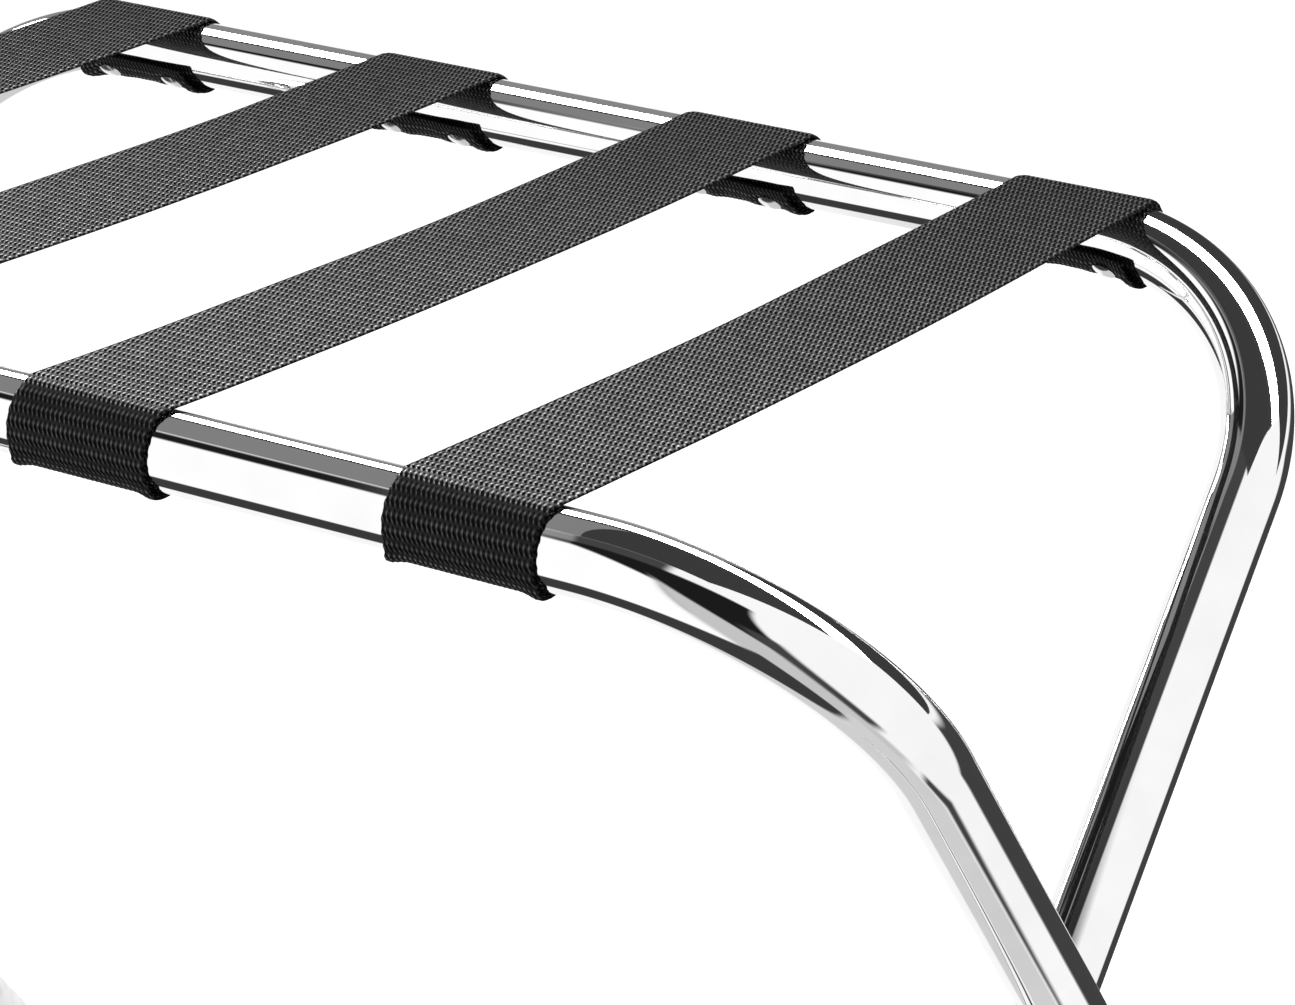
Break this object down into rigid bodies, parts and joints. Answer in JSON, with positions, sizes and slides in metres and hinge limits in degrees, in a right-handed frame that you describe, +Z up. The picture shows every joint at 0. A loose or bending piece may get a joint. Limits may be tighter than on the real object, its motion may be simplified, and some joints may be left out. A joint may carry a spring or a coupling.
{
  "type": "folding luggage rack",
  "caption": "Folding luggage rack: two crossed U-shaped chrome tube frames on a pivot, with black webbing straps riveted across the top rails.",
  "frame": {"origin": "on the floor under the middle of the open rack, midway between its feet", "axes": "+Z up, X along the two rails, Y from the front rail (-Y, outer frame) to the back rail (+Y, inner frame)"},
  "size_m": [0.6886, 0.5024, 0.508],
  "materials": {
    "chrome_tube": "polished",
    "strap_webbing": "matte",
    "rivet_steel": "polished",
    "pivot_steel": "satin",
    "spacer_nylon": "satin",
    "foot_rubber": "matte"
  },
  "bodies": {
    "outer": {"outer_frame": "chrome_tube", "outer_foot_left": "foot_rubber", "outer_foot_right": "foot_rubber", "pivot_bolt_left": "pivot_steel", "pivot_spacer_left": "spacer_nylon", "pivot_washer_left": "pivot_steel", "cap_nut_left": "pivot_steel", "pivot_bolt_right": "pivot_steel", "pivot_spacer_right": "spacer_nylon", "pivot_washer_right": "pivot_steel", "cap_nut_right": "pivot_steel", "strap_1": "strap_webbing", "front_rivets_1": "rivet_steel", "strap_2": "strap_webbing", "front_rivets_2": "rivet_steel", "strap_3": "strap_webbing", "front_rivets_3": "rivet_steel", "strap_4": "strap_webbing", "front_rivets_4": "rivet_steel"},
    "inner": {"inner_frame": "chrome_tube", "inner_foot_left": "foot_rubber", "inner_foot_right": "foot_rubber", "back_rivets_1": "rivet_steel", "back_rivets_2": "rivet_steel", "back_rivets_3": "rivet_steel", "back_rivets_4": "rivet_steel"}
  },
  "joints": [
    {"name": "fold", "type": "hinge", "parent": "outer", "child": "inner", "pos_m": [0, 0, 0.27045], "axis": [1, 0, 0], "range_deg": [0, 74], "deforming": ["strap_1", "strap_2", "strap_3", "strap_4"]}
  ]
}
